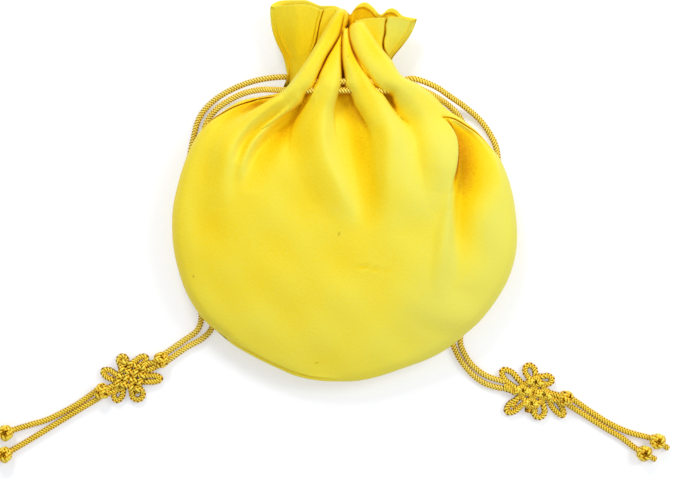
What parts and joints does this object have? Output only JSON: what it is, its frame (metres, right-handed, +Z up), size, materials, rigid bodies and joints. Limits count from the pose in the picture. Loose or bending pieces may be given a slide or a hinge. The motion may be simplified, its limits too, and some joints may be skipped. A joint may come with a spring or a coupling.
{
  "type": "drawstring pouch",
  "caption": "Small round satin drawstring pouch lying flat and drawn shut, with a flared pleated collar and knotted braided cords leaving at each side.",
  "frame": {"origin": "on the surface it lies on, under the middle of the two satin panels' bounding box, cords left out", "axes": "+Y from the bottom seam towards the mouth, +X to the right seen from above with the mouth away from the viewer, +Z up out of the surface it lies on"},
  "size_m": [0.2378, 0.161, 0.0215],
  "materials": {
    "satin": "lemon yellow satin with a soft sheen, sewn at the rim",
    "braid": "round braided golden yellow cord, knotted"
  },
  "bodies": {
    "root": {"front_panel": "satin", "back_panel": "satin", "left_drawcord": "braid", "right_drawcord": "braid", "left_upper_tail": "braid", "left_lower_tail": "braid", "right_upper_tail": "braid", "right_lower_tail": "braid", "left_flower_knot": "braid", "right_flower_knot": "braid", "left_upper_button_knot": "braid", "left_lower_button_knot": "braid", "right_lower_button_knot": "braid", "left_upper_stopper_knot": "braid", "left_lower_stopper_knot": "braid", "right_upper_stopper_knot": "braid", "right_lower_stopper_knot": "braid"}
  },
  "joints": []
}
